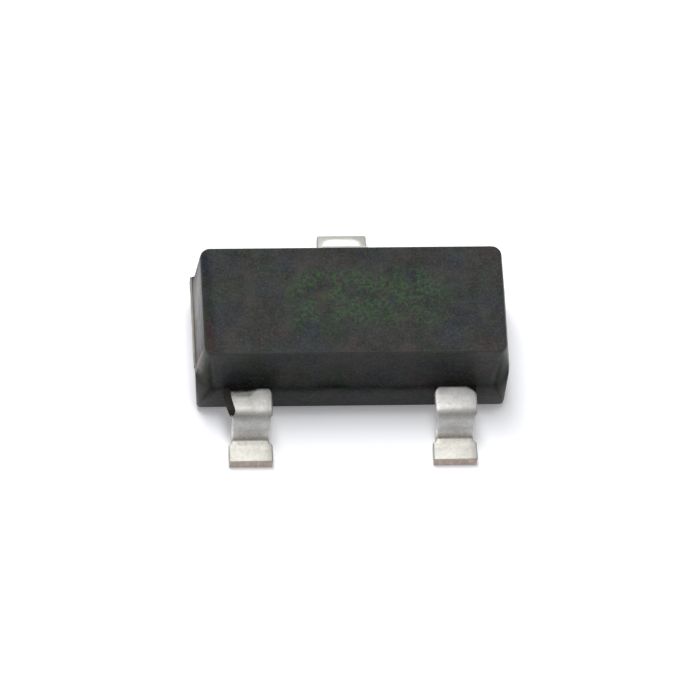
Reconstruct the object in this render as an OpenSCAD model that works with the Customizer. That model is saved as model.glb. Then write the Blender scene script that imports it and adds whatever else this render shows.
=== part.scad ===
// Three-lead moulded zener diode for surface mounting: a resin body moulded in two drafted halves
// round a flat lead frame, with the chip, its attach layer, its metal pad and its bond wire sealed
// inside. X runs along the body, the two-lead side faces -Y, and Z = 0 is the board under the feet.

/* [Moulded body] */
// Length of the body where the two mould halves meet
body_w = 2.93; // [2.84:0.01:3.04]
// Width of the body where the two mould halves meet
body_d = 1.26; // [1.2:0.01:1.4]
// Height of the top face above the board
top_z = 1; // [0.94:0.01:1.1]
// Gap between the body and the board
standoff = 0.05; // [0.02:0.01:0.1]
// Draft of the upper mould half, in degrees
draft_up = 7; // [5:0.5:10]
// Draft of the lower mould half, in degrees
draft_low = 4; // [3:0.5:7]
// Radius of the upright corners where they reach the top face
corner_up_r = 0.09; // [0.06:0.01:0.14]
// Radius of the upper half's upright corners where the halves meet
line_up_r = 0.22; // [0.16:0.01:0.3]
// Radius of the upright corners where they reach the bottom face
corner_low_r = 0.035; // [0.025:0.005:0.08]
// Radius of the lower half's upright corners where the halves meet
line_low_r = 0.17; // [0.07:0.01:0.24]
// Radius of the edge round the top and bottom faces
edge_r = 0.018; // [0.01:0.002:0.03]
// How much smaller the lower half is all round than the upper half, where they meet
mould_step = 0.006; // [0.004:0.002:0.016]

/* [Leads] */
// Thickness of the strip that the leads are cut from
lead_t = 0.11; // [0.09:0.005:0.14]
// Height of the leads' top face above the board, which is where the mould parts
lead_z = 0.46; // [0.43:0.01:0.52]
// Distance between the two front leads, from middle to middle
pitch = 1.9; // [1.8:0.01:2]
// Distance from the front toes to the rear toe
span = 2.42; // [2.3:0.01:2.6]
// Width of a front foot
front_w = 0.41; // [0.36:0.01:0.46]
// Width of the rear foot
rear_w = 0.46; // [0.38:0.01:0.5]
// How far the lead is cut in on each side at its riser
neck_in = 0.03; // [0.01:0.005:0.05]
// How far the lead is cut in on each side at its shoulder
shoulder_in = 0.01; // [0:0.005:0.03]
// Inner radius of both bends
bend_r = 0.03; // [0.02:0.005:0.06]
// Angle between the riser and the upright, in degrees
riser_lean = 6; // [3:1:14]
// Length of the flat underside of a foot
foot_flat = 0.21; // [0.14:0.01:0.28]

/* [Lead frame inside the body] */
// Length along X of the paddle that carries the chip
paddle_w = 1; // [0.8:0.02:1.1]
// Length along Y of the paddle
paddle_d = 0.66; // [0.56:0.02:0.7]
// Gap between the paddle and each front lead's post
frame_gap = 0.12; // [0.1:0.01:0.15]
// Resin between a front lead's post and the end of the body
end_cover = 0.26; // [0.22:0.01:0.32]
// Length along Y of a front lead's post
post_d = 0.28; // [0.22:0.01:0.32]
// Resin between a post and the front of the body
front_cover = 0.2; // [0.17:0.01:0.24]
// Radius of the corners of the paddle and the posts
frame_corner_r = 0.05; // [0.03:0.01:0.08]
// Radius of the notches that lock each lead into the resin
notch_r = 0.035; // [0.02:0.005:0.045]
// Depth of the notches inside the body
notch_in = 0.15; // [0.13:0.01:0.18]

/* [Chip and wire] */
// Side of the square silicon chip
chip_side = 0.4; // [0.3:0.01:0.46]
// Thickness of the chip
chip_t = 0.14; // [0.1:0.01:0.18]
// Thickness of the silver-filled glue under the chip
attach_t = 0.02; // [0.01:0.002:0.03]
// How far the glue spreads past the chip all round
attach_rim = 0.03; // [0.01:0.005:0.04]
// Side of the metal pad on the chip
pad_side = 0.24; // [0.18:0.01:0.28]
// Thickness of the metal pad
pad_t = 0.006; // [0.004:0.001:0.01]
// Radius of the corners of the metal pad
pad_corner_r = 0.03; // [0.02:0.005:0.05]
// Diameter of the bond wire
wire_d = 0.025; // [0.018:0.001:0.032]
// Diameter of the ball that joins the wire to the pad
ball_d = 0.065; // [0.05:0.005:0.08]
// Height of the squashed ball
ball_h = 0.016; // [0.012:0.002:0.02]
// Radius of the wire's bend over the chip
loop_r = 0.05; // [0.035:0.005:0.06]
// Slope of the wire's long run down to the post, in degrees
wire_slope = 20; // [16:1:22]
// Diameter of the stitch that joins the wire to the post
stitch_d = 0.075; // [0.06:0.005:0.09]
// Thickness of the stitch
stitch_t = 0.008; // [0.006:0.001:0.012]

/* [Marks of moulding] */
// Length along Y of the broken gate on the left end
gate_w = 0.97; // [0.8:0.01:1]
// Height of the gate above the parting line
gate_h = 0.09; // [0.06:0.01:0.14]
// How far the broken gate stands out of the end of the body
gate_out = 0.008; // [0.004:0.002:0.04]
// Distance from the middle of the body to the middle of the gate
gate_y = 0.05; // [-0.05:0.01:0.06]
// Width of the sliver of resin left beside the front left lead
sliver_w = 0.06; // [0.04:0.005:0.1]
// Thickness of the sliver beside the lead
sliver_t = 0.06; // [0.04:0.005:0.1]
// Length of the sliver, from the front of the body
sliver_run = 0.27; // [0.2:0.01:0.32]
// Thickness of the sliver where its tip lies over the lead
sliver_film = 0.012; // [0.008:0.002:0.02]

/* [Hidden] */
$fn = 64;

LEFT = -1;
RIGHT = 1;
resin_black = [0.19, 0.2, 0.19];
tin = [0.8, 0.79, 0.77];

// Flats that make up the round edge of the top and bottom faces
edge_steps = 3;
// How far shapes of one piece run into each other where they join
join = 0.05;
// How far the draft sets the top face in from the parting line
inset_up = (top_z - lead_z) * tan(draft_up);

// Side view of a lead: both bends turn by the same angle, so the foot is level
turn = 90 - riser_lean;
mid_r = bend_r + lead_t / 2;
riser_run = (lead_z - lead_t - 2 * mid_r * (1 - cos(turn))) / sin(turn);
bent_reach = 2 * mid_r * sin(turn) + riser_run * cos(turn) + foot_flat;
// The flat part starts this far inside the body
root_in = 0.12;
shoulder_start = body_d / 2 - root_in;
shoulder_run = span / 2 - bent_reach - shoulder_start;

// Plan of the lead frame
post_in_x = paddle_w / 2 + frame_gap;
post_w = body_w / 2 - end_cover - post_in_x;
post_x = post_in_x + post_w / 2;
post_front_y = -body_d / 2 + front_cover;

// Heights of the stack on the paddle
attach_top = lead_z + attach_t;
chip_top = attach_top + chip_t;
pad_top = chip_top + pad_t;
ball_top = pad_top + ball_h;

// The wire lands in the middle of the anode's post
landing = [-post_x, post_front_y + post_d / 2];
wire_reach = norm(landing);
wire_heading = atan2(landing[1], landing[0]);
wire_run = (wire_reach - loop_r * (1 + sin(wire_slope))) / cos(wire_slope);
loop_z = lead_z + wire_run * sin(wire_slope) - loop_r * cos(wire_slope);

// Half of the section of one mould half: it reaches out to the given distance where the halves
// meet, leans in by the draft and rounds over into the flat face at the given height
module half_section(reach, height, draft) {
  mid_x = reach - (edge_r + (height - edge_r) * sin(draft)) / cos(draft);
  mid_y = height - edge_r;
  polygon([[0, 0], [reach, 0],
    for (i = [0:edge_steps]) let (a = draft + (90 - draft) * i / edge_steps)
      [mid_x + edge_r * cos(a), mid_y + edge_r * sin(a)],
    [0, height]]);
}

// One mould half standing on the parting plane. Its upright corners turn tighter on the way up, from
// the radius at the parting line to the one at the flat face, and the flat sides keep the draft
module mould_half(half_w, half_d, height, draft, corner_r, line_r) {
  band = 4 * edge_r;
  inset = (height - band) * tan(draft);
  band_r = corner_r + band * tan(draft);
  hull() for (x = [-1, 1], y = [-1, 1]) {
    translate([x * (half_w - line_r), y * (half_d - line_r)])
      cylinder(r1 = line_r, r2 = 0, h = band, $fn = 32);
    translate([x * (half_w - inset - band_r), y * (half_d - inset - band_r), height - band])
      rotate_extrude($fn = 32) half_section(band_r, band, draft);
  }
}

// What is left of the gate where the resin flowed in: a ledge with a ragged broken edge
module gate() {
  edge = [[1, -0.5], [-0.45, -0.47], [-0.9, -0.36], [-0.7, -0.12], [-0.95, 0.06],
    [-0.8, 0.27], [-1, 0.48], [1, 0.5]];
  translate([-body_w / 2, gate_y, lead_z]) linear_extrude(gate_h)
    polygon([for (p = edge) [p[0] * (p[0] > 0 ? inset_up : gate_out), p[1] * gate_w]]);
}

// The finger of resin that stayed on the left edge of the front left lead and was bent with it. It
// starts beside the lead, and its rounded tip lies over the lead's edge
module resin_sliver() {
  side_x = -pitch / 2 - front_w / 2 + shoulder_in;
  edge = [[-1, -0.1], [-0.58, -0.62], [-0.25, -0.88], [0, -0.97], [0.25, -1], [0.5, -0.97],
    [0.7, -0.87], [0.6, -0.75], [0.3, -0.5], [0.1, -0.25]];
  intersection() {
    formed_strip(pitch + front_w + 3 * sliver_w, sliver_film);
    translate([side_x, -body_d / 2, lead_z - sliver_t]) linear_extrude(top_z)
      polygon([[-sliver_w, join], for (p = edge) [p[0] * sliver_w, p[1] * sliver_run], [0, join]]);
  }
}

module moulded_body() {
  color(resin_black) difference() {
    union() {
      translate([0, 0, lead_z])
        mould_half(body_w / 2, body_d / 2, top_z - lead_z, draft_up, corner_up_r, line_up_r);
      translate([0, 0, lead_z]) mirror([0, 0, 1])
        mould_half(body_w / 2 - mould_step, body_d / 2 - mould_step, lead_z - standoff, draft_low,
          corner_low_r, line_low_r);
      gate();
      resin_sliver();
    }
    anode_lead();
    unconnected_lead();
    cathode_lead();
    die_attach();
    zener_chip();
    bond_pad();
    bond_wire();
  }
}

// Side view of the strip, drawn from inside the body outwards with its top face on the line y = 0
// and a film of some thickness lying on that face
module run(length, film) {
  translate([0, -lead_t]) square([length, lead_t + film]);
  translate([length, 0]) children();
}

// The part of a bend between two angles, picked out by a wedge that reaches well past it
module bend_band(inner, outer, from, to) {
  intersection() {
    difference() {
      circle(outer);
      circle(inner);
    }
    polygon([[0, 0], for (a = [from, to]) 4 * lead_t * [cos(a), sin(a)]]);
  }
}

module bend_down(film) {
  translate([0, -lead_t - bend_r]) {
    bend_band(bend_r, bend_r + lead_t + film, 90 - turn, 90);
    rotate(-turn) translate([0, lead_t + bend_r]) children();
  }
}

module bend_out(film) {
  translate([0, bend_r]) {
    bend_band(bend_r - film, bend_r + lead_t, 270, 270 + turn);
    rotate(turn) translate([0, -bend_r]) children();
  }
}

// A strip of any width on the front side of the body, formed down to the board
module formed_strip(width, film = 0) {
  translate([width / 2, -shoulder_start, 0]) rotate([90, 0, -90]) linear_extrude(width)
    translate([0, lead_z]) run(shoulder_run, film) bend_down(film)
      run(riser_run, film) bend_out(film) run(foot_flat, film);
}

// Front view of a lead above its foot: cut in at the riser, and from half-way round the upper bend
// only a little narrower than the foot. It runs past the strip above and below, so the strip alone
// sets the top and bottom faces
module lead_front(foot_w) {
  neck = foot_w / 2 - neck_in;
  shoulder = foot_w / 2 - shoulder_in;
  knee_z = lead_z - (bend_r + lead_t) * (1 - cos(turn / 2));
  half = [[neck, -lead_t], [neck, knee_z - neck_in], [shoulder, knee_z],
    [shoulder, lead_z + lead_t]];
  polygon(concat(half, [for (i = [len(half) - 1:-1:0]) [-half[i][0], half[i][1]]]));
}

// Plan of a foot: it widens at 45 degrees from the riser's width, where the flat starts
module foot_plan(foot_w) {
  flat_start = foot_flat - span / 2;
  polygon([[0, flat_start + foot_w / 2 - neck_in], [foot_w / 2, flat_start - neck_in],
    [foot_w / 2, -span], [-foot_w / 2, -span], [-foot_w / 2, flat_start - neck_in]]);
}

module formed_lead(foot_w) {
  intersection() {
    formed_strip(2 * foot_w);
    union() {
      rotate([90, 0, 0]) linear_extrude(span) lead_front(foot_w);
      translate([0, 0, -lead_t]) linear_extrude(3 * lead_t) foot_plan(foot_w);
    }
  }
}

module rounded_plate(w, d, r) {
  square([w - 2 * r, d], center = true);
  square([w, d - 2 * r], center = true);
  for (x = [-1, 1], y = [-1, 1])
    translate([x * (w / 2 - r), y * (d / 2 - r)]) circle(r);
}

// Plan of the flat part inside the body, from the given depth out to the shoulder's start
module stem(stem_w, depth) {
  difference() {
    translate([-stem_w / 2, -shoulder_start - join]) square([stem_w, shoulder_start + join - depth]);
    for (x = [-stem_w / 2, stem_w / 2]) translate([x, -body_d / 2 + notch_in]) circle(notch_r);
  }
}

module front_lead(side) {
  stem_w = front_w - 2 * shoulder_in;
  color(tin) {
    translate([side * pitch / 2, 0, 0]) formed_lead(front_w);
    translate([0, 0, lead_z - lead_t]) linear_extrude(lead_t) {
      translate([side * pitch / 2, 0]) stem(stem_w, -post_front_y - post_d / 2);
      translate([side * post_x, post_front_y + post_d / 2])
        rounded_plate(post_w, post_d, frame_corner_r);
    }
  }
}

module anode_lead() {
  front_lead(LEFT);
}

module unconnected_lead() {
  front_lead(RIGHT);
}

module cathode_lead() {
  color(tin) rotate(180) {
    formed_lead(rear_w);
    translate([0, 0, lead_z - lead_t]) linear_extrude(lead_t) {
      stem(rear_w - 2 * shoulder_in, 0);
      rounded_plate(paddle_w, paddle_d, frame_corner_r);
    }
  }
}

module die_attach() {
  color("gainsboro") translate([0, 0, lead_z]) linear_extrude(attach_t)
    rounded_plate(chip_side + 2 * attach_rim, chip_side + 2 * attach_rim, 2 * attach_rim);
}

module zener_chip() {
  color("slategray") translate([0, 0, attach_top + chip_t / 2])
    cube([chip_side, chip_side, chip_t], center = true);
}

module bond_pad() {
  color("lightgray") translate([0, 0, chip_top]) linear_extrude(pad_t)
    rounded_plate(pad_side, pad_side, pad_corner_r);
}

// The wire rises from its ball, turns over in one bend and runs straight down to the post
module bond_wire() {
  color("gold") rotate(wire_heading) {
    translate([0, 0, pad_top]) rotate_extrude() {
      square([(ball_d - ball_h) / 2, ball_h]);
      translate([(ball_d - ball_h) / 2, ball_h / 2]) intersection() {
        circle(d = ball_h);
        translate([0, -ball_h]) square(2 * ball_h);
      }
    }
    translate([0, 0, ball_top]) cylinder(d = wire_d, h = loop_z - ball_top);
    translate([loop_r, 0, loop_z]) rotate([90, 0, 0])
      rotate_extrude(angle = 90 + wire_slope, start = 90 - wire_slope)
        translate([loop_r, 0]) circle(d = wire_d);
    intersection() {
      translate([loop_r * (1 + sin(wire_slope)), 0, loop_z + loop_r * cos(wire_slope)])
        rotate([0, 90 + wire_slope, 0]) cylinder(d = wire_d, h = wire_run + wire_d / tan(wire_slope));
      translate([0, -wire_d, lead_z]) cube([wire_reach + 4 * wire_d, 2 * wire_d, top_z - lead_z]);
    }
    translate([wire_reach, 0, lead_z]) cylinder(d = stitch_d, h = stitch_t);
  }
}

moulded_body();
anode_lead();
unconnected_lead();
cathode_lead();
die_attach();
zener_chip();
bond_pad();
bond_wire();
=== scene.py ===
import math

import bmesh
import bpy
from mathutils import Matrix, Vector, noise


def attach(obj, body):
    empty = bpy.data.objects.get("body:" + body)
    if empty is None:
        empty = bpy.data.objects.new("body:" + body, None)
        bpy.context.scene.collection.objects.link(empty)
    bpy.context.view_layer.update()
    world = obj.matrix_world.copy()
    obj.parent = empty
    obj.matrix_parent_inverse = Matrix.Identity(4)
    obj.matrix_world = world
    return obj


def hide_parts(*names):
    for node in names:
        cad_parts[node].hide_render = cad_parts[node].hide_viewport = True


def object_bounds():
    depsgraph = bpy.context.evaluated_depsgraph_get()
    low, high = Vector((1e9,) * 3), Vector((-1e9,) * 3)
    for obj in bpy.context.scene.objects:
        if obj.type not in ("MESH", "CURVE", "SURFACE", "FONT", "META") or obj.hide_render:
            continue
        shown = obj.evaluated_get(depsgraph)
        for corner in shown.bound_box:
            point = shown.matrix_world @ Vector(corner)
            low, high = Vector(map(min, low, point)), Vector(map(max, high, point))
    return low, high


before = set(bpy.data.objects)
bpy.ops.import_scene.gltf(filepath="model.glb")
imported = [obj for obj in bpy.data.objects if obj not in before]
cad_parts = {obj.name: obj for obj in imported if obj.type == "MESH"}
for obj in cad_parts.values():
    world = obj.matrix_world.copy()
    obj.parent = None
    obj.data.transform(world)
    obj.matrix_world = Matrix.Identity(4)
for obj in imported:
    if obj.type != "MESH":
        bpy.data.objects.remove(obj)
cad_low, cad_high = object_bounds()

# The resin body
# One casting of black epoxy, pressed round the lead frame in a mould of two drafted halves. The
# mould's eroded faces give it a fine matte grain. At the left end the runner was broken off, and a
# web of resin stayed on the front left lead when the strip's dam bars were cut.

MILLIMETRE = 0.001
parting_z = 0.46  # height of the leads' top face, where the mould halves meet
end_x = 1.465  # half the body's length there
front_y = 0.63  # half its width there
top_z = 1.0
upper_draft = math.tan(math.radians(7))  # how far the upper half leans in per millimetre
corner_x = 1.3  # where the front turns into the upright corners, near the parting line
corner_rise = 0.1185  # how far that place moves out per millimetre up the upper half
corner_fall = 0.25  # and per millimetre down the lower half
break_z = 0.545  # height of the ledge in the broken gate
lead_x = 0.95  # how far the front leads are from the body's middle


def copy_of(node):
    """A CAD node's mesh as one closed skin, in millimetres, with its flat faces whole"""
    same_place = 2e-5
    flat = math.radians(0.4)
    mesh = bmesh.new()
    mesh.from_mesh(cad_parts[node].data)
    bmesh.ops.scale(mesh, vec=(1 / MILLIMETRE,) * 3, verts=mesh.verts)
    bmesh.ops.remove_doubles(mesh, verts=mesh.verts, dist=same_place)
    bmesh.ops.dissolve_limit(
        mesh, angle_limit=flat, verts=mesh.verts[:], edges=mesh.edges[:])
    return mesh


def made_into(name, mesh, finish, node):
    """The finished piece: shaded smooth over all but its sharp edges, for its CAD node"""
    sharp = math.radians(40)
    bmesh.ops.scale(mesh, vec=(MILLIMETRE,) * 3, verts=mesh.verts)
    data = bpy.data.meshes.new(name)
    mesh.to_mesh(data)
    mesh.free()
    data.shade_smooth()
    data.set_sharp_from_angle(angle=sharp)
    data.materials.append(finish)
    piece = bpy.data.objects.new(name, data)
    bpy.context.scene.collection.objects.link(piece)
    weighting = piece.modifiers.new("even shading on the flats", "WEIGHTED_NORMAL")
    weighting.keep_sharp = True
    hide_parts(node)
    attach(piece, "root")


class Wire:
    """One output in a finish. Maths on it adds a Math node, and node() adds any other node"""

    def __init__(self, tree, socket=None):
        self.tree = tree
        self.socket = socket

    def node(self, kind, settings, inputs, output=None):
        made = self.tree.nodes.new("ShaderNode" + kind)
        for name, value in settings.items():
            setattr(made, name, value)
        for name, value in inputs.items():
            socket = next(s for s in made.inputs if name == s.identifier)
            if isinstance(value, Wire):
                self.tree.links.new(value.socket, socket)
            else:
                socket.default_value = value
        found = [s for s in made.outputs if output in (None, s.identifier)]
        return Wire(self.tree, found[0] if found else None)

    def maths(self, operation, one, other):
        return self.node("Math", {"operation": operation}, {"Value": one, "Value_001": other})

    def __add__(self, other):
        return self.maths("ADD", self, other)

    def __sub__(self, other):
        return self.maths("SUBTRACT", self, other)

    def __rsub__(self, other):
        return self.maths("SUBTRACT", other, self)

    def __mul__(self, other):
        return self.maths("MULTIPLY", self, other)

    def __abs__(self):
        return self.maths("ABSOLUTE", self, 0.0)

    __radd__ = __add__
    __rmul__ = __mul__

    def least(self, other):
        return self.maths("MINIMUM", self, other)

    def most(self, other):
        return self.maths("MAXIMUM", self, other)

    def rise(self, low, high):
        """0 up to low and 1 from high on, eased between. It falls where low is above high"""
        return self.node("MapRange", {"interpolation_type": "SMOOTHSTEP"},
                         {"Value": self, "From Min": low, "From Max": high})

    def axes(self):
        split = self.node("SeparateXYZ", {}, {"Vector": self}, "X")
        outputs = split.socket.node.outputs
        return [Wire(self.tree, outputs[axis]) for axis in "XYZ"]

    def stretched(self, *factors):
        return self.node("Mapping", {}, {"Vector": self, "Scale": factors})

    def cloud(self, per_mm, detail=3.0, rough=0.5):
        """Noise on this place, from 0 to 1, with the given number of waves in a millimetre"""
        return self.node("TexNoise", {}, {
            "Vector": self, "Scale": per_mm, "Detail": detail, "Roughness": rough})

    def colour(self, one, other):
        """One colour where this mask is 0, the other where it is 1"""
        return self.node("Mix", {"data_type": "RGBA"}, {
            "Factor_Float": self, "A_Color": one, "B_Color": other}, "Result_Color")

    def relief(self, depth, under=None):
        """This height as a bump of the given depth in millimetres, on top of another bump"""
        inputs = {"Height": self, "Distance": depth * MILLIMETRE}
        if under:
            inputs["Normal"] = under
        return self.node("Bump", {}, inputs)


def start_finish(name):
    """A new material, and the place on the piece in millimetres"""
    material = bpy.data.materials.new(name)
    material.use_nodes = True
    material.node_tree.nodes.clear()
    here = Wire(material.node_tree)
    here = here.node("TexCoord", {}, {}, "Object")
    return material, here.node(
        "VectorMath", {"operation": "SCALE"}, {"Vector": here, "Scale": 1 / MILLIMETRE})


def end_finish(here, inputs, other=None, share=0.0):
    """Closes a finish. A second set of inputs takes over by the given share"""
    shader = here.node("BsdfPrincipled", {}, inputs)
    if other:
        shader = here.node("MixShader", {}, {
            "Fac": share, "Shader": shader, "Shader_001": here.node("BsdfPrincipled", {}, other)})
    here.node("OutputMaterial", {}, {"Surface": shader})


def resin_finish():
    """Black moulding resin: matte grain, greenish and brownish clouds, bare fillers at breaks"""
    deep = (0.007, 0.008, 0.007, 1)
    green = (0.005, 0.018, 0.006, 1)
    brown = (0.024, 0.009, 0.012, 1)
    cold = (0.004, 0.008, 0.026, 1)
    filler_and_edge_light = (0.060, 0.063, 0.054, 1)
    painted_corner_light = (0.095, 0.098, 0.088, 1)
    broken = (0.68, 0.64, 0.58, 1)
    ledge = (0.46, 0.43, 0.39, 1)
    burnt = (0.030, 0.085, 0.024, 1)
    bleached = (0.085, 0.080, 0.045, 1)
    web = (0.030, 0.027, 0.024, 1)
    bloom = (0.045, 0.013, 0.015, 1)
    pale_streak = (0.34, 0.33, 0.31, 1)
    warm_pale_streak = (0.32, 0.275, 0.26, 1)
    material, here = start_finish("moulding_resin")
    x, y, z = here.axes()
    tint = here.cloud(4.3, 5.0, 0.65)
    base = tint.rise(0.36, 0.48).colour(green, deep)
    base = tint.rise(0.52, 0.66).colour(base, brown)
    base = (here.cloud(3.7, 5.0, 0.7).rise(0.47, 0.66) * 0.8).colour(base, cold)
    # A reddish bloom on the front of the top's left margin
    top = z.rise(top_z - 0.02, top_z - 0.005)
    base = (x.rise(-1.27, -1.36) * (y * -1).rise(0.1, 0.35) * top * 0.6).colour(base, bloom)
    # Filler shows in wide clouds and in fine specks, and the web on the left lead has none
    base = (here.cloud(4.6, 8.0, 0.9).rise(0.34, 0.68) * 0.55).colour(base, filler_and_edge_light)
    base = (here.cloud(42, 3.0, 0.7).rise(0.47, 0.75) * 0.8).colour(base, filler_and_edge_light)
    base = (y * -1).rise(front_y + 0.01, front_y + 0.03).colour(base, web)
    # A cloud of faint green and yellowish specks lies over the middle of the top
    inside = abs(x - 0.12).rise(0.82, 0.62) * abs(y - 0.02).rise(0.36, 0.22) * top
    spread = inside * here.cloud(5, 4.0, 0.6).rise(0.36, 0.56)
    base = (spread * here.cloud(27, 3.0, 0.75).rise(0.44, 0.6) * 0.75).colour(base, burnt)
    base = (spread * here.cloud(15, 3.0, 0.7).rise(0.6, 0.7) * 0.5).colour(base, bleached)
    # The gate's break stands out of the drafted end
    up = z - parting_z
    break_mask = (up * upper_draft - x - end_x).rise(0.001, 0.005)
    ledge_mask = z.rise(break_z - 0.003, break_z + 0.003)
    base = break_mask.colour(base, ledge_mask.colour(broken, ledge))
    # How far past the turn of the front and back into the upright corners, lightened there as
    # painted light
    turning = abs(x) - corner_x - up.most(0) * corner_rise + up.least(0) * corner_fall
    corner = turning.rise(0.0, 0.07) * abs(y).rise(0.42, 0.6) * z.rise(top_z - 0.02, top_z - 0.06)
    base = (corner * 0.65).colour(base, painted_corner_light)
    # The rounded edge of the top and the lowest edge of the sides are painted paler, as painted
    # light
    painted_edge_light = z.rise(top_z - 0.0003, top_z - 0.002) * z.rise(top_z - 0.022, top_z - 0.014) * 0.6
    base = painted_edge_light.most(z.rise(0.35, 0.06) * abs(x).rise(0.6, 1.3) * 0.8).colour(base, filler_and_edge_light)
    # The gate's end came off the mould a little glossier than the other sides, and pale streaks run
    # across it and round its corners, warmer towards the front
    end = (x * -1).rise(end_x - 0.11, end_x - 0.06) * abs(y).rise(0.57, 0.5) * (1 - break_mask)
    gloss = end * abs(y).rise(0.5, 0.3) * z.rise(1.02, 0.7)
    streaks = here.stretched(1, 0.35, 1).cloud(7, 4.0, 0.65).rise(0.32, 0.6)
    streaks = streaks * end * z.rise(0.95, 0.72) * z.rise(0.5, 0.64) * 0.65
    base = streaks.colour(base, y.rise(-0.15, 0.1).colour(warm_pale_streak, pale_streak))
    side = z.rise(top_z - 0.004, top_z - 0.03)
    grain = here.cloud(34, 5.0, 0.62)
    rough = 0.62 - side * 0.22 + (grain - 0.5) * 0.25 + break_mask * 0.3
    bump = grain.relief(0.0035)
    bump = here.cloud(120, 2.0).relief(0.0008, bump)
    bump = (here.cloud(60, 4.0, 0.7) * break_mask).relief(0.01, bump)
    # Painted shade, as a share of the surface without any shine. The sides have more of it towards
    # the parting line, most of all above the front leads and in one blotch between them
    above = z.rise(parting_z + 0.6, parting_z - 0.1)
    below = z.rise(0.0, parting_z - 0.04)
    middle = abs(x).rise(1.3, 0.8)
    line = abs(z - parting_z + 0.01).rise(0.09, 0.01)
    lead = abs(abs(x) - lead_x).rise(0.34, 0.12) * (y * -1).rise(0.4, 0.5)
    blotch = abs(x + 0.21).rise(0.2, 0.06) * z.rise(parting_z + 0.17, parting_z + 0.06)
    painted_shade = above.least(below) * (0.5 - middle * 0.2)
    painted_shade = painted_shade + middle * (0.38 - z.rise(0.4, 0.3) * 0.12) + line * 0.2
    painted_shade = painted_shade + above * lead.most(blotch) * z.rise(parting_z - 0.03, parting_z) * 0.25
    # A strip of painted shade runs up the turn into the left corner, and a margin along the top's
    # left edge
    strip = abs(turning).rise(0.07, 0.01) * z.rise(top_z - 0.1, top_z - 0.3) * z.rise(0.15, 0.3)
    painted_shade = painted_shade + strip * x.rise(0.5, -0.5) * 0.2
    painted_shade = painted_shade * side * (1 - end) * (1 - corner * 0.8)
    painted_shade = painted_shade * (here.cloud(5, 3.0) * 0.5 + 0.75)
    margin = (x * -1).rise(1.27, 1.34) * top * 0.5
    painted_shade = painted_shade.most(margin) * (1 - break_mask)
    end_finish(here, {"Base Color": base, "Roughness": rough, "Normal": bump,
                      "Specular IOR Level": 0.27, "Coat Weight": gloss,
                      "Coat Roughness": 0.25},
               {"Base Color": base, "Roughness": 0.8, "Normal": bump,
                "Specular IOR Level": 0.0}, painted_shade)
    return material


def torn_gate(mesh):
    """Cuts up the faces of the gate's break and moves them by noise, inside the body's box"""
    waves, depth = 25, 0.009
    noise.seed_set(74)  # without a seed this noise follows the clock
    low, high = Vector(cad_low) / MILLIMETRE, Vector(cad_high) / MILLIMETRE
    middles = [(f, f.calc_center_median()) for f in mesh.faces if abs(f.normal.z) < 0.5]
    broken = [f for f, at in middles if at.x < -end_x + 1e-4 and at.z > parting_z + 1e-3]
    cut = bmesh.ops.subdivide_edges(
        mesh, edges=list(dict.fromkeys(e for f in broken for e in f.edges)), cuts=3,
        use_grid_fill=True)
    for vert in cut["geom_inner"]:
        if isinstance(vert, bmesh.types.BMVert) and vert.co.x < -end_x - 0.002:
            push = noise.noise_vector(vert.co * waves) * depth
            vert.co = [min(max(c + p, a), b) for c, p, a, b in zip(vert.co, push, low, high)]


resin = copy_of("moulded_body")
torn_gate(resin)
made_into("resin_body", resin, resin_finish(), "moulded_body")

# The three leads
# Stamped from copper-alloy strip 0.11 mm thick, plated all over with matte tin, cropped at the
# toe, which bares the alloy, and bent in a former. Inside the body each widens to its post, and
# the rear one to the paddle. Stamping rounds the edges, and a little resin bled onto the roots.

edge_round = 0.014  # radius that stamping and plating leave on the edges
root_y = front_y - 0.012  # just inside the resin, where that rounding starts
toe_y = 1.21  # how far the cropped toes are from the body's middle
foot_z = 0.11  # top of the feet


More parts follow.
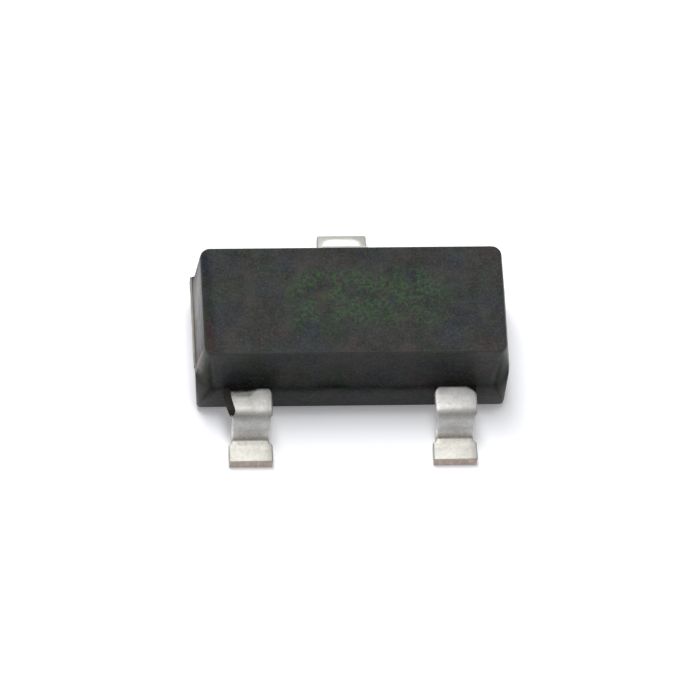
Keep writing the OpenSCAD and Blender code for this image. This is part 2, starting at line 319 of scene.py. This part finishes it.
def tin_finish():
    """Matte tin with bending marks, painted light and shade, bare alloy at cropped toes, resin
    bleed at the roots
    """
    bright = (0.685, 0.68, 0.675, 1)
    warm_and_shaded_tin = (0.52, 0.51, 0.46, 1)
    dull_and_shaded_tin = (0.50, 0.495, 0.48, 1)
    pitted_and_shaded_tin = (0.36, 0.355, 0.32, 1)
    painted_light_tin = (0.96, 0.94, 0.89, 1)
    alloy = (0.68, 0.56, 0.50, 1)
    dark_alloy = (0.50, 0.42, 0.36, 1)
    bleed = (0.07, 0.075, 0.05, 1)
    material, here = start_finish("tinned_strip")
    x, y, z = here.axes()
    patches = here.cloud(9, 4.0, 0.6)
    drawn = here.stretched(7, 1, 1).cloud(14, 3.0, 0.6)
    low = z.rise(foot_z + 0.09, foot_z + 0.01)
    left, right, front = x.rise(0.0, -0.1), x.rise(0.0, 0.1), y.rise(0.0, -0.1)
    # The feet are a warmer tin, and darker as painted shade that holds down the lamp's highlight
    # there
    base = (patches.rise(0.35, 0.75) * 0.6).colour(low.colour(bright, warm_and_shaded_tin), dull_and_shaded_tin)
    base = (drawn.rise(0.55, 0.75) * 0.3).colour(base, dull_and_shaded_tin)
    # The outside of the upper bend, crazed by the former, and the shoulders' tops are duller,
    # partly as painted shade. Painted highlights lighten the heel, the foot beside it and the rear
    # foot's middle
    crazed_and_shaded = z.rise(0.28, 0.4) * abs(y).rise(0.68, 0.72)
    base = (crazed_and_shaded.most(z.rise(parting_z - 0.03, parting_z - 0.005)) * 0.45).colour(base, dull_and_shaded_tin)
    along = y - (toe_y - 0.15)
    across, along = x * x * 30, along * along * 80
    painted_foot_highlight = (across * across + along * along).rise(1.6, 0.4)
    painted_foot_highlight = painted_foot_highlight * z.rise(foot_z - 0.03, foot_z - 0.01)
    painted_front_heel_light = y.rise(-0.98, -1.0) * y.rise(-1.14, -1.0)
    painted_heel_light = z.rise(0.1, 0.13) * z.rise(0.27, 0.17)
    base = (low * painted_foot_highlight.most(painted_front_heel_light * 0.6)).most(painted_heel_light * 0.72).colour(base, painted_light_tin)
    # Painted shade dulls the rear foot round its painted highlight
    painted_rim_shade = y.rise(0.8, 0.9) * (1 - painted_foot_highlight) * low * 0.6
    base = painted_rim_shade.colour(base, dull_and_shaded_tin)
    # Painted shade darkens the front leads' right edges, the left lead's shoulder is darker on its
    # left, and a painted highlight lightens the right lead's left edge
    painted_right_edge_shade = (x - lead_x).rise(0.12, 0.21).most((x + lead_x).rise(0.12, 0.21) * left)
    left_shoulder_dimmer = x.rise(0.1 - lead_x, -0.05 - lead_x) * z.rise(0.4, 0.44) * 0.45
    base = ((painted_right_edge_shade * 0.5).most(left_shoulder_dimmer) * front).colour(base, pitted_and_shaded_tin)
    painted_edge_light = (lead_x - x).rise(0.13, 0.18) * right * z.rise(0.36, 0.42) * 0.35
    base = painted_edge_light.colour(base, painted_light_tin)
    pits = here.cloud(34, 4.0, 0.7).rise(0.4, 0.7)
    base = (pits * (0.4 - painted_foot_highlight * 0.3)).colour(base, pitted_and_shaded_tin)
    # The cropped toe: sheared smooth above, torn below
    toe = abs(y).rise(toe_y - 0.0035, toe_y - 0.0015)
    shear = here.stretched(1, 1, 0.3).cloud(22, 3.0, 0.55)
    bare = shear.rise(0.4, 0.7).colour(dark_alloy, alloy)
    base = toe.colour(base, bare)
    # Resin bled over the roots: a thin stain on the left lead, and a black film that rounds the
    # leads' root corners. A ragged strip of the film along the left lead's root is painted shade
    out = (y * -1) - front_y
    ragged = (here.cloud(24, 4.0, 0.6) - 0.5) * 0.05
    patch = x.rise(0.08 - lead_x, -0.02 - lead_x) * 0.085
    corner = (x - lead_x).rise(0.085, 0.33).most((lead_x - x).rise(0.14, 0.28)) * right
    corner = corner.most((x + lead_x).rise(0.15, 0.28) * left) * 0.18
    corner = corner.most(x.rise(0.11 - lead_x, -0.05 - lead_x) * (0.03 + ragged * 0.7))
    near = z.rise(parting_z - 0.06, parting_z - 0.02) * (y * -1).rise(0.3, 0.4)
    spots = here.cloud(16, 4.0, 0.6).rise(0.3, 0.75)
    stain = (patch + ragged - out).rise(-0.02, 0.03) * near * (0.35 + spots * 0.5)
    base = stain.colour(base, bleed)
    film_and_root_shade = (corner + ragged * 0.4 - out).rise(-0.022, 0.014) * near
    rough = 0.54 + patches * 0.12 + toe * 0.1
    bump = here.cloud(45, 5.0, 0.65).relief(0.0022)
    bump = drawn.relief(0.001, bump)
    bump = (shear * toe).relief(0.006, bump)
    end_finish(here, {"Base Color": base, "Roughness": rough, "Normal": bump,
                      "Metallic": (1 - stain * 0.8) * (1 - toe * 0.3)},
               {"Base Color": (0.008, 0.008, 0.008, 1), "Roughness": 0.8, "Normal": bump,
                "Specular IOR Level": 0.15}, film_and_root_shade)
    return material


def softened(node):
    """A lead whose stamped edges are rounded where they show, up to just inside the resin"""
    mesh = copy_of(node)
    for side in (-1, 1):
        bmesh.ops.bisect_plane(
            mesh, geom=mesh.verts[:] + mesh.edges[:] + mesh.faces[:], dist=1e-5,
            plane_co=(0, side * root_y, 0), plane_no=(0, side, 0))
    stamped = math.radians(50)  # the bends' own edges turn less than this
    shown = [e for e in mesh.edges if e.calc_face_angle(0) > stamped
             and all(abs(v.co.y) > root_y - 1e-4 for v in e.verts)]
    bmesh.ops.bevel(mesh, geom=shown, offset=edge_round, offset_type="OFFSET", segments=3,
                    profile=0.5, affect="EDGES", clamp_overlap=True, material=-1)
    return mesh


tin = tin_finish()
for lead in ("anode_lead", "unconnected_lead", "cathode_lead"):
    made_into(lead + "_tinned", softened(lead), tin, lead)

# The glue under the chip
# A dab of epoxy filled with silver flakes, printed on the paddle and cured under the chip.


def glue_finish():
    flake = (0.62, 0.61, 0.59, 1)
    epoxy = (0.30, 0.29, 0.26, 1)
    material, here = start_finish("silver_glue")
    flakes = here.cloud(90, 3.0, 0.7)
    shine = flakes.rise(0.45, 0.6)
    end_finish(here, {"Base Color": shine.colour(epoxy, flake), "Metallic": shine * 0.8,
                      "Roughness": 0.75 - shine * 0.3, "Normal": flakes.relief(0.003)})
    return material


def refinished(node, finish):
    """A CAD node that keeps its mesh and gets the given finish"""
    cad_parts[node].data.materials.clear()
    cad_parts[node].data.materials.append(finish)


refinished("die_attach", glue_finish())

# The silicon chip
# Sawn from a polished wafer: its top is mirror-dark with a border left bare for the saw, and its
# four sides carry the saw's fine marks.

chip_side = 0.4
saw_border = 0.04


def silicon_finish():
    polished = (0.10, 0.11, 0.14, 1)
    border = (0.20, 0.20, 0.22, 1)
    sawn = (0.26, 0.26, 0.27, 1)
    material, here = start_finish("silicon")
    x, y, _ = here.axes()
    from_edge = chip_side / 2 - abs(x).most(abs(y))
    side = from_edge.rise(0.002, 0.0)
    marks = here.stretched(1, 1, 12).cloud(14, 2.0)
    base = from_edge.rise(saw_border + 0.003, saw_border).colour(polished, border)
    base = side.colour(base, (marks * 0.6).colour(sawn, polished))
    end_finish(here, {"Base Color": base, "Metallic": 0.6, "Roughness": 0.12 + side * 0.4,
                      "Normal": (marks * side).relief(0.002)})
    return material


refinished("zener_chip", silicon_finish())

# The metal pad on the chip
# A film of evaporated aluminium, fine-grained and bright, dulled where the probe scrubbed it.


def pad_finish():
    film_and_root_shade = (0.86, 0.86, 0.87, 1)
    scrubbed = (0.55, 0.55, 0.56, 1)
    material, here = start_finish("pad_metal")
    x, y, _ = here.axes()
    grain = here.cloud(160, 2.0)
    scrub = abs(x - 0.07).rise(0.022, 0.012) * abs(y + 0.05).rise(0.04, 0.025)
    end_finish(here, {"Base Color": (scrub * grain).colour(film_and_root_shade, scrubbed), "Metallic": 1.0,
                      "Roughness": 0.22 + scrub * 0.3, "Normal": grain.relief(0.0006)})
    return material


refinished("bond_pad", pad_finish())

# The bond wire
# Gold wire 25 micrometres thick: a ball squashed onto the pad, a loop over the chip's edge, and
# a stitch pressed onto the anode's post.


def gold_finish():
    gold = (0.94, 0.68, 0.26, 1)
    shade = (0.70, 0.44, 0.13, 1)
    material, here = start_finish("gold_wire")
    grain = here.cloud(120, 3.0)
    end_finish(here, {"Base Color": (grain.rise(0.5, 0.8) * 0.5).colour(gold, shade),
                      "Metallic": 1.0, "Roughness": 0.2 + grain * 0.15,
                      "Normal": grain.relief(0.0005)})
    return material


refinished("bond_wire", gold_finish())

# The table and the light
# A plain white table that fills the picture, a white room that is dimmer in front, and one soft
# lamp nearly overhead, a little behind and to the left. It is deep and narrow, so a short soft
# shadow falls to the front and hardly any to the sides.

table_side = 0.4


def white_table():
    mesh = bmesh.new()
    bmesh.ops.create_grid(mesh, x_segments=1, y_segments=1, size=table_side / 2)
    data = bpy.data.meshes.new("white_table")
    mesh.to_mesh(data)
    mesh.free()
    material, here = start_finish("table_white")
    seen = here.node("LightPath", {}, {}, "Is Camera Ray")
    mirrored = here.node("LightPath", {}, {}, "Is Glossy Ray")
    grey, white = (0.75, 0.75, 0.75, 1), (0.965, 0.97, 1, 1)
    end_finish(here, {"Base Color": seen.most(mirrored).colour(grey, white), "Roughness": 1.0,
                      "Specular IOR Level": 0.0, "Emission Color": white,
                      "Emission Strength": seen * 0.21 + mirrored * 0.3})
    data.materials.append(material)
    table = bpy.data.objects.new("white_table", data)
    bpy.context.scene.collection.objects.link(table)


def white_room():
    world = bpy.data.worlds.new("white_room")
    world.use_nodes = True
    world.node_tree.nodes.clear()
    here = Wire(world.node_tree)
    seen = here.node("LightPath", {}, {}, "Is Camera Ray")
    x, y, z = here.node("TexCoord", {}, {}, "Generated").axes()
    level = 0.06 + y.rise(-0.8, 0.6) * 0.3 + z.rise(0.0, 0.9) * 0.1
    level = level + abs(x).rise(0.1, 0.95) * 0.15
    light = here.node("Background", {}, {"Color": (1, 1, 1, 1), "Strength": seen.most(level)})
    here.node("OutputWorld", {}, {"Surface": light})
    bpy.context.scene.world = world


def soft_lamp():
    away = Vector((-0.005, 0.009, 0.049))
    width, depth, watts = 0.014, 0.032, 0.0175
    data = bpy.data.lights.new("soft_lamp", "AREA")
    data.shape = "ELLIPSE"
    data.size, data.size_y, data.energy = width, depth, watts
    lamp = bpy.data.objects.new("soft_lamp", data)
    lamp.matrix_world = Matrix.Translation(away) @ away.to_track_quat("Z", "Y").to_matrix().to_4x4()
    bpy.context.scene.collection.objects.link(lamp)


white_table()
white_room()
soft_lamp()

# The camera
# A long lens that looks down steeply at the front, a little from the left and a little rolled.


def photo_camera():
    picture = 700  # pixels across
    pixels_per_mm = 107.67
    distance = 100 * MILLIMETRE
    turn, height, roll = math.radians(-9.1), math.radians(59.84), math.radians(7.3)
    centre = (350.12, 326.55)  # where the point in the middle of the body, 0.5 mm up, shows
    right = Vector((math.cos(turn), math.sin(turn), 0))
    ahead = Vector((-math.sin(turn) * math.cos(height), math.cos(turn) * math.cos(height),
                    -math.sin(height)))
    up = right.cross(ahead)
    rolled_right = right * math.cos(roll) + up * math.sin(roll)
    rolled_up = up * math.cos(roll) - right * math.sin(roll)
    aim = Vector((0, 0, 0.5)) + (rolled_right * (picture / 2 - centre[0])
                                 - rolled_up * (picture / 2 - centre[1])) / pixels_per_mm
    data = bpy.data.cameras.new("photo_camera")
    data.lens = data.sensor_width * pixels_per_mm * distance / MILLIMETRE / picture
    data.clip_start = distance / 10
    data.clip_end = 10
    camera = bpy.data.objects.new("photo_camera", data)
    turned = Matrix((rolled_right, rolled_up, -ahead)).transposed().to_4x4()
    camera.matrix_world = Matrix.Translation(aim * MILLIMETRE - ahead * distance) @ turned
    bpy.context.scene.collection.objects.link(camera)
    bpy.context.scene.camera = camera


photo_camera()
bpy.context.scene.view_settings.view_transform = "Standard"
